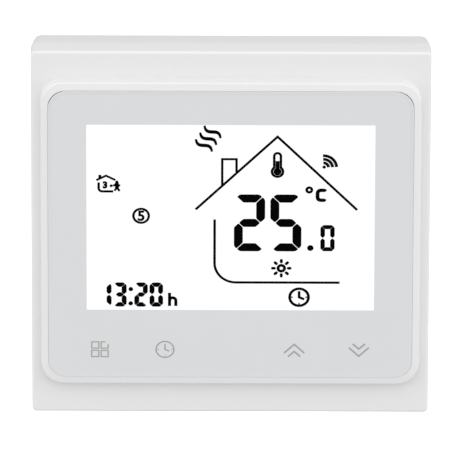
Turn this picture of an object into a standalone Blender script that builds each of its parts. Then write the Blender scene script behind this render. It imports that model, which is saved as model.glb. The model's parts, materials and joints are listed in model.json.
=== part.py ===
"""Wall thermostat: square touch-key room thermostat with a rear power box.

Frame: the origin is on the wall plane at the centre of the mounting plate.
+Y points into the wall, -Y to the room, +Z is up and +X is to the right for
someone who looks at the screen.  All lengths are in metres.
"""

import math

import bmesh
import bpy
from mathutils import Matrix, Vector


def mm(*values):
    """Millimetres to metres: one number, or a tuple of them."""
    metres = tuple(value * 0.001 for value in values)
    return metres[0] if len(metres) == 1 else metres


# ---- Driving dimensions: the faces that show -------------------------------------
FACE = mm(86.0)               # width and height of the front shell
CORNER = mm(1.0)              # radius of the shell's upright corners
RIM_FILLET = mm(0.5)          # fillet round the front edge of the shell
BORDER_Y = mm(-10.8)          # plane of the border round the bezel
WALL_INSET = mm(0.9)          # how far the side walls have come in at the wall
LEAN_Y = mm(-5.6)             # where the side walls start to lean in
BEZEL_SIZE = mm(82.0, 72.1)
BEZEL_CORNER = mm(5.0)
BEZEL_FILLET = mm(0.5)
BEZEL_Y = mm(-13.2)           # front of the bezel
SCREEN_Z = mm(0.74)           # height of the bezel's centre above the shell's
GLASS_SIZE = mm(78.7, 68.2)
GLASS_CORNER = mm(3.9)
GLASS_CHAMFER = mm(0.3)
DISPLAY_Z = SCREEN_Z + mm(4.2)          # centre of the LCD
KEY_X = mm(-28.1, -14.0, 14.0, 28.0)    # the four touch keys
KEY_Z = SCREEN_Z - mm(27.6)

# ---- Layers of the front unit, from the room to the wall -------------------------
GLASS_Y = mm(-13.3, -12.0)
ADHESIVE_Y = mm(-11.7, -11.2)
LEDGE_Y = mm(-10.9)           # shelf in the housing that the adhesive sticks to
CAVITY_Y = mm(-9.3)           # back face of the housing's front wall
LCD_Y = mm(-11.6, -9.8)
DIFFUSER_Y = mm(-9.5, -8.2)
HOLDER_Y = mm(-10.6, -7.1)
HOLDER_FLOOR_Y = mm(-7.9)
BOARD_Y = mm(-6.8, -5.8)
CHIP_Y = mm(-5.5)             # where the parts on the back of the board start
COVER_Y = mm(-2.7, -1.5)
PLATE_Y = mm(-1.0, 0.0)

# ---- Fits and fasteners ----------------------------------------------------------
GAP = mm(0.3)                 # between parts that touch
WALL = mm(2.0)                # wall of the front shell at the wall plane
CAVITY = FACE - 2 * (WALL_INSET + WALL)
CASE_SCREW_AT = mm(35.0, 36.0)
CASE_BOSS_R = mm(2.8)
BOX_SCREW_AT = mm(20.6)
HOLE_PITCH = mm(60.0)         # pitch of the wall box's two screws
PLATE_SIZE = mm(78.6)
PLATE_CORNER_CUT = mm(13.0)
TAB_X = mm(20.0)
TAB_WIDTH = mm(9.0)
TAB_Y = mm(-8.5)

# ---- Power box -------------------------------------------------------------------
BOX_SIZE = mm(50.0)
BOX_Y = mm(0.3, 28.7)
BOX_WALL = mm(1.6)
BOX_CORNER = mm(2.0)
POWER_BOARD_Y = mm(7.9, 9.5)
PART_Y = mm(9.8)              # where the parts on the power board start
PIN_PITCH = mm(2.54)
PIN_COUNT = 8
HEADER_Z = mm(15.0)           # height of the pin header and its socket

# ---- Terminals -------------------------------------------------------------------
POLE_COUNT = 6
POLE_PITCH = mm(7.5)
BLOCK_Y = mm(9.8, 28.4)
BLOCK_Z = mm(-23.1, -11.1)
TERMINAL_Z = mm(-17.9)        # screw axes
CLAMP_Y = mm(12.3, 20.3)      # cage, fully open
BAR_Y = mm(17.0, 17.8)

# ---- Relay -----------------------------------------------------------------------
RELAY_X = mm(-13.4)
RELAY_CASE = mm(15.5, 15.6, 19.2)
RELAY_Z = mm(1.2)
ARMATURE_PIVOT = mm(21.6, 8.9)          # y and z of the armature's hinge line

COLOURS = {
    "white_abs": ((0.80, 0.80, 0.81), 0.38, 0.0),
    "glass": ((0.70, 0.72, 0.73), 0.08, 0.0),
    "tape": ((0.05, 0.05, 0.05), 0.8, 0.0),
    "lcd": ((0.92, 0.93, 0.93), 0.15, 0.0),
    "acrylic": ((0.90, 0.92, 0.92), 0.2, 0.0),
    "silicone": ((0.55, 0.56, 0.60), 0.6, 0.0),
    "circuit_board": ((0.03, 0.22, 0.10), 0.45, 0.0),
    "spring_steel": ((0.72, 0.71, 0.68), 0.25, 1.0),
    "chip_black": ((0.03, 0.03, 0.035), 0.5, 0.0),
    "shield_can": ((0.70, 0.70, 0.70), 0.3, 1.0),
    "bead_epoxy": ((0.06, 0.10, 0.06), 0.4, 0.0),
    "connector_black": ((0.02, 0.02, 0.02), 0.5, 0.0),
    "zinc_steel": ((0.66, 0.67, 0.68), 0.35, 1.0),
    "box_white": ((0.78, 0.78, 0.76), 0.45, 0.0),
    "relay_blue": ((0.02, 0.16, 0.45), 0.4, 0.0),
    "copper": ((0.72, 0.33, 0.16), 0.35, 1.0),
    "ferrite": ((0.08, 0.08, 0.09), 0.6, 0.0),
    "capacitor_sleeve": ((0.02, 0.02, 0.03), 0.35, 0.0),
    "film_yellow": ((0.80, 0.60, 0.08), 0.45, 0.0),
    "varistor_blue": ((0.03, 0.12, 0.35), 0.5, 0.0),
    "fuse_beige": ((0.70, 0.60, 0.42), 0.5, 0.0),
    "terminal_green": ((0.05, 0.30, 0.14), 0.45, 0.0),
    "brass": ((0.75, 0.58, 0.28), 0.3, 1.0),
}


# ---- Scene -----------------------------------------------------------------------
def clear_scene():
    for obj in list(bpy.data.objects):
        bpy.data.objects.remove(obj, do_unlink=True)


def new_collection(name, parent=None):
    collection = bpy.data.collections.new(name)
    (parent or bpy.context.scene.collection).children.link(collection)
    return collection


def make_materials():
    materials = {}
    for name, (colour, roughness, metallic) in COLOURS.items():
        material = bpy.data.materials.new(name)
        material.use_nodes = True
        shader = material.node_tree.nodes["Principled BSDF"]
        shader.inputs["Base Color"].default_value = (*colour, 1.0)
        shader.inputs["Roughness"].default_value = roughness
        shader.inputs["Metallic"].default_value = metallic
        materials[name] = material
    return materials


clear_scene()
PARTS = new_collection("wall_thermostat")
CUTTERS = new_collection("wall_thermostat_cutters")
MATERIALS = make_materials()


# ---- Building blocks -------------------------------------------------------------
def around(middle, width):
    return (middle - width / 2, middle + width / 2)


def object_from_bmesh(name, bm, location=(0.0, 0.0, 0.0)):
    mesh = bpy.data.meshes.new(name)
    bm.to_mesh(mesh)
    bm.free()
    obj = bpy.data.objects.new(name, mesh)
    obj.location = location
    PARTS.objects.link(obj)
    return obj


def block_bmesh(x, y, z, corner=0.0, segments=4):
    """A cube stretched to the given widths, its edges along Y rounded."""
    bm = bmesh.new()
    bmesh.ops.create_cube(bm, size=1.0)
    size = (x[1] - x[0], y[1] - y[0], z[1] - z[0])
    bmesh.ops.scale(bm, vec=size, verts=bm.verts)
    if corner:
        along_y = [
            edge for edge in bm.edges
            if abs(edge.verts[0].co.y - edge.verts[1].co.y) > size[1] / 2
        ]
        bmesh.ops.bevel(
            bm, geom=along_y, offset=corner, segments=segments, profile=0.5,
            affect="EDGES", clamp_overlap=True,
        )
    return bm


def block(name, x, y, z, corner=0.0, segments=4, front_fillet=0.0):
    """A box between low and high x, y and z, with optional round corners and front edge."""
    bm = block_bmesh(x, y, z, corner, segments)
    if front_fillet:
        fillet_front(bm, front_fillet, 2)
    centre = ((x[0] + x[1]) / 2, (y[0] + y[1]) / 2, (z[0] + z[1]) / 2)
    return object_from_bmesh(name, bm, centre)


def fillet_front(bm, width, segments):
    """Round the loop of edges at the lowest y."""
    front = min(vert.co.y for vert in bm.verts)
    loop = [
        edge for edge in bm.edges
        if all(vert.co.y - front < mm(0.001) for vert in edge.verts)
    ]
    bmesh.ops.bevel(
        bm, geom=loop, offset=width, segments=segments, profile=0.5,
        affect="EDGES", clamp_overlap=True,
    )


def rod(name, x, z, y, radius, sides=16):
    """A cylinder along Y."""
    bm = bmesh.new()
    bmesh.ops.create_cone(
        bm, cap_ends=True, segments=sides, radius1=radius, radius2=radius, depth=y[1] - y[0],
        matrix=Matrix.Rotation(math.radians(90.0), 4, "X"),
    )
    return smooth(object_from_bmesh(name, bm, (x, (y[0] + y[1]) / 2, z)))


def turned(name, profile, location, steps=20, towards="+Y"):
    """A turned piece from (radius, height) points listed from its far end down.

    The heights run along the direction named by towards.
    """
    bm = bmesh.new()
    verts = [bm.verts.new((radius, 0.0, height)) for radius, height in profile]
    for first, second in zip(verts, verts[1:]):
        bm.edges.new((first, second))
    obj = object_from_bmesh(name, bm, location)
    screw = obj.modifiers.new("turn", "SCREW")
    screw.steps = steps
    screw.render_steps = steps
    screw.use_merge_vertices = True
    screw.merge_threshold = 0.00001
    turns = {"+Y": (-90.0, 0.0), "-Y": (90.0, 0.0), "+X": (0.0, 90.0), "+Z": (0.0, 0.0)}
    tilt_x, tilt_y = turns[towards]
    obj.rotation_euler = (math.radians(tilt_x), math.radians(tilt_y), 0.0)
    return obj


def wire(name, points, radius, bevel_resolution=1):
    """A round wire through the points, made a closed mesh."""
    curve = bpy.data.curves.new(name, "CURVE")
    curve.dimensions = "3D"
    curve.bevel_depth = radius
    curve.bevel_resolution = bevel_resolution
    curve.use_fill_caps = True
    spline = curve.splines.new("POLY")
    spline.points.add(len(points) - 1)
    for spline_point, point in zip(spline.points, points):
        spline_point.co = (*point, 1.0)
    guide = bpy.data.objects.new(name + "_path", curve)
    PARTS.objects.link(guide)
    mesh = evaluated_mesh(guide)
    bm = bmesh.new()
    bm.from_mesh(mesh)
    bpy.data.meshes.remove(mesh)
    bmesh.ops.remove_doubles(bm, verts=bm.verts, dist=0.00001)
    bmesh.ops.recalc_face_normals(bm, faces=bm.faces)
    bpy.data.objects.remove(guide, do_unlink=True)
    return smooth(object_from_bmesh(name, bm))


def evaluated_mesh(obj):
    bpy.context.view_layer.update()
    graph = bpy.context.evaluated_depsgraph_get()
    return bpy.data.meshes.new_from_object(obj.evaluated_get(graph))


def smooth(obj, angle=35.0):
    obj.data.shade_smooth()
    obj.data.set_sharp_from_angle(angle=math.radians(angle))
    return obj


def combine(obj, operation, helpers):
    """One exact Boolean with all the helpers, which become hidden guides."""
    operands = new_collection(obj.name + "_" + operation.lower(), CUTTERS)
    for helper in helpers:
        PARTS.objects.unlink(helper)
        operands.objects.link(helper)
        helper.hide_render = True
        helper.display_type = "WIRE"
    boolean = obj.modifiers.new(operation.lower(), "BOOLEAN")
    boolean.operation = operation
    boolean.solver = "EXACT"
    boolean.operand_type = "COLLECTION"
    boolean.collection = operands
    return obj


def join(obj, *helpers):
    return combine(obj, "UNION", helpers)


def cut(obj, *helpers):
    return combine(obj, "DIFFERENCE", helpers)


def bake(obj):
    """The finished mesh of a piece that is repeated; the piece and its guides go."""
    mesh = evaluated_mesh(obj)
    mesh.materials.clear()
    for modifier in obj.modifiers:
        if modifier.type == "BOOLEAN":
            for helper in list(modifier.collection.objects):
                bpy.data.objects.remove(helper, do_unlink=True)
            bpy.data.collections.remove(modifier.collection)
    bpy.data.objects.remove(obj, do_unlink=True)
    return mesh


def repeat(name, mesh, location):
    obj = bpy.data.objects.new(name, mesh)
    obj.location = location
    PARTS.objects.link(obj)
    return obj


def finish(obj, colour):
    obj.data.materials.clear()
    obj.data.materials.append(MATERIALS[colour])
    return obj


def ride_on(parent, *pieces):
    for piece in pieces:
        piece.parent = parent


def corners(reach_x, reach_z):
    return [(sx * reach_x, sz * reach_z) for sz in (-1, 1) for sx in (-1, 1)]


# ---- Front unit ------------------------------------------------------------------
def shell_body():
    """Outer form of the front shell: its sides lean in over their rear half."""
    bm = block_bmesh(around(0, FACE), (BORDER_Y, 0.0), around(0, FACE), CORNER)
    middle = BORDER_Y / 2
    bend = LEAN_Y - middle
    geometry = list(bm.verts) + list(bm.edges) + list(bm.faces)
    bmesh.ops.bisect_plane(bm, geom=geometry, plane_co=(0, bend, 0), plane_no=(0, 1, 0))
    for vert in bm.verts:
        share = max(0.0, (vert.co.y - bend) / (-middle - bend))
        shrink = 1.0 - 2.0 * WALL_INSET * share / FACE
        vert.co.x *= shrink
        vert.co.z *= shrink
    fillet_front(bm, RIM_FILLET, 3)
    return object_from_bmesh("front_housing", bm, (0.0, middle, 0.0))


def key_holes(y, radius, sides=16):
    return [rod("key_hole", x, KEY_Z, y, radius, sides) for x in KEY_X]


def front_housing():
    window = mm(70.6, 52.6)
    key_hole_r = mm(4.6)
    pilot_r = mm(1.35)
    boss_end = mm(-3.8)
    vent_width = mm(1.4)
    vent_pitch = mm(5.0)
    body = shell_body()
    bezel = block(
        "bezel", around(0, BEZEL_SIZE[0]), (BEZEL_Y, CAVITY_Y), around(SCREEN_Z, BEZEL_SIZE[1]),
        BEZEL_CORNER, 8, BEZEL_FILLET,
    )
    join(body, bezel)
    cavity = block("cavity", around(0, CAVITY), (CAVITY_Y, mm(1)), around(0, CAVITY), mm(1.2), 3)
    glass_seat = block(
        "glass_seat", around(0, GLASS_SIZE[0] + 0.8 * GAP), (mm(-14), LEDGE_Y),
        around(SCREEN_Z, GLASS_SIZE[1] + 0.8 * GAP), GLASS_CORNER, 6,
    )
    display_window = block(
        "display_window", around(0, window[0]), (mm(-12), mm(-9)), around(DISPLAY_Z, window[1])
    )
    release = block("release_notch", mm(-5, 5), mm(-1.6, 1), mm(-44, -39))
    vents = [
        block("vent", around(i * vent_pitch, vent_width), mm(-8.2, -4.2), mm(-44, -39))
        for i in range(-3, 4)
    ]
    cut(body, cavity, glass_seat, display_window, release, *vents)
    holes = key_holes(mm(-12, -9), key_hole_r)
    cut(body, *holes)
    bosses = [
        rod("boss", x, z, (CAVITY_Y - mm(0.6), boss_end), CASE_BOSS_R) for x, z in corners(*CASE_SCREW_AT)
    ]
    ribs = [
        block(
            "grip_rib", around(sx * TAB_X, TAB_WIDTH - mm(2)), (CAVITY_Y - mm(0.5), mm(-0.8)),
            around(sz * (PLATE_SIZE / 2 + GAP + mm(0.5)), mm(1.0)),
        )
        for sx in (-1, 1) for sz in (-1, 1)
    ]
    join(body, *bosses, *ribs)
    pilots = [
        rod("pilot", x, z, mm(-8.5, -3.0), pilot_r, 12) for x, z in corners(*CASE_SCREW_AT)
    ]
    cut(body, *pilots)
    return finish(smooth(body), "white_abs")


def touch_glass():
    glass = block(
        "touch_glass", around(0, GLASS_SIZE[0]), GLASS_Y, around(SCREEN_Z, GLASS_SIZE[1]),
        GLASS_CORNER, 6, GLASS_CHAMFER,
    )
    return finish(smooth(glass), "glass")


def glass_adhesive():
    size = mm(77.5, 67.2)
    window = mm(71.2, 53.2)
    tape = block("glass_adhesive", around(0, size[0]), ADHESIVE_Y, around(SCREEN_Z, size[1]), mm(3.2), 4)
    opening = block(
        "tape_window", around(0, window[0]), mm(-12, -11), around(DISPLAY_Z, window[1])
    )
    cut(tape, opening, *key_holes(mm(-12, -11), mm(4.6)))
    return finish(tape, "tape")


def lcd_panel():
    panel = block("lcd_panel", mm(-34.0, 34.0), LCD_Y, around(DISPLAY_Z, mm(50.0)))
    return finish(panel, "lcd")


def lcd_holder():
    outer = mm(70.0, 52.0)
    pocket = mm(68.6, 50.6)
    slot_z = DISPLAY_Z - mm(23.8)
    tray = block("lcd_holder", around(0, outer[0]), HOLDER_Y, around(DISPLAY_Z, outer[1]), mm(0.8), 2)
    hollow = block(
        "pocket", around(0, pocket[0]), (mm(-11), HOLDER_FLOOR_Y), around(DISPLAY_Z, pocket[1])
    )
    slot = block("strip_slot", mm(-30.6, 30.6), mm(-8.5, -7.0), around(slot_z, mm(2.4)))
    cut(tray, hollow, slot)
    return finish(tray, "white_abs")


def backlight_diffuser():
    guide = block(
        "backlight_diffuser", mm(-33.0, 33.0), DIFFUSER_Y,
        (DISPLAY_Z - mm(21.9), DISPLAY_Z + mm(24.0)),
    )
    return finish(guide, "acrylic")


def lcd_connector():
    strip = block(
        "lcd_connector", mm(-30.0, 30.0), mm(-9.5, -7.1), around(DISPLAY_Z - mm(23.8), mm(1.8))
    )
    return finish(strip, "silicone")


def main_board():
    board = block("main_board", mm(-38.0, 38.0), BOARD_Y, mm(-32.8, 32.8), mm(1.0), 2)
    return finish(board, "circuit_board")


def spring_mesh():
    """Conical spring that narrows from the glass to the board, about its own centre line."""
    turns = 4.25
    points_per_turn = 10
    wire_r = mm(0.28)
    wide, narrow = mm(3.7, 2.6)
    front = ADHESIVE_Y[0] + wire_r
    back = BOARD_Y[0] - GAP - wire_r
    count = round(turns * points_per_turn)
    points = []
    for i in range(count + 1):
        along = i / count
        angle = along * turns * 2.0 * math.pi
        radius = wide + (narrow - wide) * along
        height = front + (back - front) * along
        points.append((radius * math.cos(angle), height, radius * math.sin(angle)))
    return bake(wire("spring", points, wire_r))


def touch_springs():
    mesh = spring_mesh()
    springs = []
    for number, x in enumerate(KEY_X, start=1):
        springs.append(finish(repeat(f"touch_spring_{number}", mesh, (x, 0.0, KEY_Z)), "spring_steel"))
    return springs


def microcontroller():
    chip = block("microcontroller", mm(-15.0, -5.0), (CHIP_Y, mm(-4.1)), mm(-8.0, 2.0), mm(0.6), 1)
    return finish(chip, "chip_black")


def wifi_module():
    base = block("wifi_module", mm(4.0, 20.0), (CHIP_Y, mm(-4.7)), mm(-18.0, 6.0))
    can = block("shield", mm(5.2, 18.8), mm(-5.0, -3.2), mm(-17.0, -1.5), mm(0.8), 2)
    join(base, can)
    return finish(base, "shield_can")


def room_sensor():
    """Bead thermistor on two legs that hang below the board's lower edge."""
    leg_x = mm(0.9)
    bead_z = mm(-36.2)
    leg_y = mm(-5.1)
    bm = bmesh.new()
    bmesh.ops.create_uvsphere(bm, u_segments=14, v_segments=10, radius=mm(1.3))
    bmesh.ops.scale(bm, vec=(1.0, 0.85, 1.25), verts=bm.verts)
    bead = object_from_bmesh("room_sensor", bm, (0.0, leg_y, bead_z))
    legs = [
        wire("leg", [(x, leg_y, mm(-29.0)), (x, leg_y, mm(-33.4)), (x / 2, leg_y, bead_z)], mm(0.22))
        for x in (-leg_x, leg_x)
    ]
    join(bead, *legs)
    return finish(smooth(bead), "bead_epoxy")


def pin_positions():
    return [(i - (PIN_COUNT - 1) / 2) * PIN_PITCH for i in range(PIN_COUNT)]


def pin_header():
    pin = mm(0.64)
    pin_end = mm(3.4)
    base = block(
        "pin_header", around(0, PIN_COUNT * PIN_PITCH), (CHIP_Y, mm(-3.1)), around(HEADER_Z, mm(2.5))
    )
    pins = [
        block("pin", around(x, pin), (mm(-5.0), pin_end), around(HEADER_Z, pin)) for x in pin_positions()
    ]
    join(base, *pins)
    return finish(base, "connector_black")


def rear_cover():
    size = CAVITY - 2.4 * GAP
    notch_depth = mm(36.6)
    boss_end = mm(-3.5)
    vent = mm(16.0, 1.2)
    sides = [(sx, sz) for sx in (-1, 1) for sz in (-1, 1)]
    cover = block("rear_cover", around(0, size), COVER_Y, around(0, size), mm(1.5), 3)
    bosses = [
        rod("boss", x, z, (boss_end, COVER_Y[0] + mm(0.6)), mm(3.1)) for x, z in corners(*CASE_SCREW_AT)
    ]
    props = [
        block(
            "board_prop", around(sx * mm(36.4), mm(2.4)), (BOARD_Y[1] + GAP, mm(-2.0)),
            around(sz * mm(15.0), mm(5.0)),
        )
        for sx, sz in sides
    ]
    join(cover, *bosses, *props)
    notches = [
        block(
            "tab_notch", around(sx * TAB_X, TAB_WIDTH + mm(1.2)), mm(-4, 0),
            tuple(sorted((sz * notch_depth, sz * mm(41)))),
        )
        for sx, sz in sides
    ]
    header_window = block("header_window", mm(-11.5, 11.5), mm(-4, 0), around(HEADER_Z, mm(4.0)))
    vents = [
        block("vent", around(0, vent[0]), mm(-4, 0), around(mm(-28.0) - i * mm(3.0), vent[1]))
        for i in range(3)
    ]
    cut(cover, header_window, *notches, *vents)
    wells = [rod("well", x, z, mm(-2.8, 0), mm(2.6)) for x, z in corners(*CASE_SCREW_AT)]
    heads = [rod("head_hole", sx * HOLE_PITCH / 2, 0.0, mm(-4, 0), mm(4.4), 20) for sx in (-1, 1)]
    small = [rod("box_head_hole", x, z, mm(-4, 0), mm(3.0)) for x, z in corners(BOX_SCREW_AT, BOX_SCREW_AT)]
    cut(cover, *wells, *heads, *small)
    holes = [rod("screw_hole", x, z, mm(-4, 0), mm(1.35), 12) for x, z in corners(*CASE_SCREW_AT)]
    cut(cover, *holes)
    return finish(cover, "white_abs")


def screw_mesh(head_r, head_height, shank_r, length, steps=14):
    """Pan-head cross-recess screw; its head's seat is at the origin and its shank runs along +Y."""
    recess_width = head_r * 0.28
    recess_reach = head_r * 1.1
    recess_depth = head_height * 0.55
    profile = [
        (0.0, length),
        (shank_r * 0.55, length),
        (shank_r, length - shank_r * 0.8),
        (shank_r, 0.0),
        (head_r, 0.0),
        (head_r, -head_height * 0.55),
        (head_r * 0.7, -head_height),
        (0.0, -head_height),
    ]
    screw = turned("screw", profile, (0.0, 0.0, 0.0), steps)
    depth = (-head_height - mm(1), -head_height + recess_depth)
    across = block("recess", around(0, recess_reach), depth, around(0, recess_width))
    upright = block("recess", around(0, recess_width), depth, around(0, recess_reach))
    cut(screw, across, upright)
    return bake_upright(screw)


def bake_upright(obj):
    """Bake with the object's rotation made part of the mesh."""
    turn = obj.rotation_euler.to_matrix().to_4x4()
    mesh = bake(obj)
    mesh.transform(turn)
    mesh.shade_smooth()
    mesh.set_sharp_from_angle(angle=math.radians(35.0))
    return mesh


def case_screws():
    """Self-tapping screws whose heads sit in the rear cover's wells and face the wall."""
    mesh = screw_mesh(mm(2.2), mm(1.2), mm(1.0), mm(5.4))
    mesh.transform(Matrix.Rotation(math.radians(180.0), 4, "Z"))
    screws = []
    for number, (x, z) in enumerate(corners(*CASE_SCREW_AT), start=1):
        screws.append(finish(repeat(f"case_screw_{number}", mesh, (x, mm(-2.5), z)), "zinc_steel"))
    return screws


# ---- Wall part -------------------------------------------------------------------
def mounting_plate():
    slot = mm(7.4, 4.5)
    upright_slot = mm(3.8, 8.0)
    tab_z = around(PLATE_SIZE / 2 - mm(0.5), mm(1.0))
    sides = [(sx, sz) for sx in (-1, 1) for sz in (-1, 1)]
    bm = block_bmesh(around(0, PLATE_SIZE), PLATE_Y, around(0, PLATE_SIZE), PLATE_CORNER_CUT, 1)
    plate = object_from_bmesh("mounting_plate", bm, (0.0, sum(PLATE_Y) / 2, 0.0))
    tabs = [
        block(
            "tab", around(sx * TAB_X, TAB_WIDTH), (TAB_Y, mm(-0.4)),
            tuple(sorted((sz * tab_z[0], sz * tab_z[1]))),
        )
        for sx, sz in sides
    ]
    join(plate, *tabs)
    detents = [
        block("detent", around(sx * TAB_X, mm(5.0)), mm(-6.6, -4.2), around(sz * PLATE_SIZE / 2, mm(6)))
        for sx, sz in sides
    ]
    slots = [
        block("slot", around(sx * HOLE_PITCH / 2, slot[0]), mm(-2, 1), around(0, slot[1]), slot[1] * 0.49, 5)
        for sx in (-1, 1)
    ]
    upright_slots = [
        block(
            "upright_slot", around(0, upright_slot[0]), mm(-2, 1),
            around(sz * HOLE_PITCH / 2, upright_slot[1]), upright_slot[0] * 0.49, 5,
        )
        for sz in (-1, 1)
    ]
    window = block("header_window", mm(-12.0, 12.0), mm(-2, 1), around(HEADER_Z, mm(7.0)))
    cut(plate, window, *detents, *slots, *upright_slots)
    holes = [
        rod("box_screw_hole", x, z, mm(-2, 1), mm(1.6), 12) for x, z in corners(BOX_SCREW_AT, BOX_SCREW_AT)
    ]
    cut(plate, *holes)
    return finish(plate, "zinc_steel")


def power_box():
    inside = BOX_SIZE - 2 * BOX_WALL
    boss_end = mm(7.4)
    vent = mm(1.2, 9.0)
    bay_y = mm(13.0, 30.0)
    bay_z = mm(-26.0, -10.8)
    shell = block("power_box", around(0, BOX_SIZE), BOX_Y, around(0, BOX_SIZE), BOX_CORNER, 4)
    hollow = block(
        "hollow", around(0, inside), (mm(-1), BOX_Y[1] - BOX_WALL), around(0, inside), mm(1.0), 2
    )
    bay = block("terminal_bay", around(0, mm(45.6)), bay_y, bay_z)
    top_vents = [
        block("top_vent", around(i * mm(3.2), vent[0]), mm(13.0, 22.0), mm(22, 26)) for i in range(-4, 5)
    ]
    side_vents = [
        block("side_vent", (x, x + mm(4)), mm(13.0, 22.0), around(mm(12.0) - i * mm(3.2), vent[0]))
        for i in range(5) for x in mm(-26, 22)
    ]
    rear_vents = [
        block("rear_vent", around(i * mm(3.2), vent[0]), mm(26, 30), mm(4.0, 13.0)) for i in range(-4, 5)
    ]
    cut(shell, hollow, bay)
    cut(shell, *top_vents, *side_vents, *rear_vents)
    bosses = [
        block("boss", around(x, mm(6.6)), (BOX_Y[0], boss_end), around(z, mm(6.6)))
        for x, z in corners(BOX_SCREW_AT + mm(0.4), BOX_SCREW_AT + mm(0.4))
    ]
    join(shell, *bosses)
    pilots = [
        rod("pilot", x, z, mm(-1.0, 7.0), mm(1.35), 12) for x, z in corners(BOX_SCREW_AT, BOX_SCREW_AT)
    ]
    cut(shell, *pilots)
    return finish(smooth(shell), "box_white")


def power_board():
    board = block("power_board", mm(-23.0, 23.0), POWER_BOARD_Y, mm(-23.0, 23.0), mm(0.8), 2)
    return finish(board, "circuit_board")


def socket_header():
    hole = mm(1.3)
    width = PIN_COUNT * PIN_PITCH
    body = block("socket_header", around(0, width), mm(-0.9, 7.6), around(HEADER_Z, mm(3.2)))
    holes = [
        block("pin_hole", around(x, hole), mm(-2.0, 5.0), around(HEADER_Z, hole)) for x in pin_positions()
    ]
    cut(body, *holes)
    return finish(body, "connector_black")


def box_screws():
    """Screws from the plate into the power box, heads towards the room."""
    mesh = screw_mesh(mm(2.3), mm(1.3), mm(1.0), mm(7.0))
    screws = []
    for number, (x, z) in enumerate(corners(BOX_SCREW_AT, BOX_SCREW_AT), start=1):
        screws.append(finish(repeat(f"box_screw_{number}", mesh, (x, PLATE_Y[0] - GAP, z)), "zinc_steel"))
    return screws


def mounting_screws():
    mesh = screw_mesh(mm(3.7), mm(2.1), mm(1.85), mm(24.0), 18)
    screws = []
    for side, name in ((-1, "mounting_screw_left"), (1, "mounting_screw_right")):
        place = (side * HOLE_PITCH / 2, PLATE_Y[0] - GAP, 0.0)
        screws.append(finish(repeat(name, mesh, place), "zinc_steel"))
    return screws


# ---- Relay: its armature turns about a hinge line on the yoke --------------------
def relay_case():
    wall = mm(0.8)
    x = around(RELAY_X, RELAY_CASE[0])
    y = (PART_Y, PART_Y + RELAY_CASE[1])
    z = around(RELAY_Z, RELAY_CASE[2])
    case = block("relay_case", x, y, z, mm(0.6), 1)
    hollow = block(
        "hollow", (x[0] + wall, x[1] - wall), (y[0] - mm(1), y[1] - wall), (z[0] + wall, z[1] - wall)
    )
    cut(case, hollow)
    return finish(case, "relay_blue")


def relay_coil():
    """Bobbin, winding and core as one turned form, standing on the yoke's foot."""
    flange_r, winding_r, core_r = mm(5.4, 4.7, 2.4)
    base, lower, upper, top = mm(11.4, 12.2, 19.6, 20.4)
    core_top = mm(20.9)
    profile = [
        (0.0, core_top), (core_r, core_top), (core_r, top), (flange_r, top), (flange_r, upper),
        (winding_r, upper), (winding_r, lower), (flange_r, lower), (flange_r, base), (0.0, base),
    ]
    return finish(turned("relay_coil", profile, (RELAY_X, 0.0, mm(2.4)), 20), "copper")


def relay_yoke():
    width = around(RELAY_X, mm(11.0))
    foot = block("relay_yoke", width, mm(10.1, 11.1), mm(-3.5, 9.6))
    upright = block("upright", width, mm(10.3, 21.0), mm(8.4, 9.6))
    join(foot, upright)
    return finish(foot, "spring_steel")


def relay_armature():
    """Soft-iron plate with its contact; the object's origin is on the hinge line."""
    pivot = Vector((RELAY_X, *ARMATURE_PIVOT))
    plate = block("relay_armature", around(RELAY_X, mm(10.0)), mm(21.9, 22.8), mm(-3.6, 9.4), mm(0.8), 1)
    blade = block("blade", around(RELAY_X, mm(4.0)), mm(22.0, 22.5), mm(-7.0, -3.0))
    contact = rod("contact", RELAY_X, mm(-5.8), mm(21.2, 22.3), mm(1.1), 12)
    join(plate, blade, contact)
    move = Matrix.Translation(plate.location - pivot)
    plate.data.transform(move)
    plate.location = pivot
    return finish(plate, "spring_steel")


def relay_contact():
    """Fixed contact on a bent strip that rises from the board."""
    strip = block("relay_contact", around(RELAY_X, mm(3.6)), mm(10.1, 19.3), mm(-7.1, -6.6))
    arm = block("arm", around(RELAY_X, mm(3.6)), mm(18.8, 19.3), mm(-7.1, -4.7))
    button = rod("button", RELAY_X, mm(-5.8), mm(19.0, 19.9), mm(1.0), 12)
    join(strip, arm, button)
    return finish(strip, "copper")


# ---- Power supply ----------------------------------------------------------------
def transformer():
    core = block("transformer", mm(-3.6, 9.6), mm(12.0, 19.0), mm(9.0, 21.6))
    winding = rod("winding", mm(3.0), mm(15.3), mm(11.0, 20.5), mm(5.3), 20)
    former = block("former", mm(-2.6, 8.6), (PART_Y, mm(11.2)), mm(8.4, 22.2))
    join(core, winding, former)
    return finish(core, "ferrite")


def supply_capacitor():
    can_r = mm(4.0)
    profile = [
        (0.0, mm(24.6)), (mm(3.4), mm(24.6)), (can_r, mm(24.0)), (can_r, mm(11.6)),
        (mm(3.7), mm(11.2)), (can_r, mm(10.8)), (can_r, PART_Y), (0.0, PART_Y),
    ]
    return finish(turned("supply_capacitor", profile, mm(16.2, 0.0, 15.4), 20), "capacitor_sleeve")


def filter_capacitor():
    body = block("filter_capacitor", mm(7.6, 21.4), (PART_Y, mm(20.8)), mm(-8.6, -2.4), mm(0.5), 2)
    return finish(body, "film_yellow")


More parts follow.
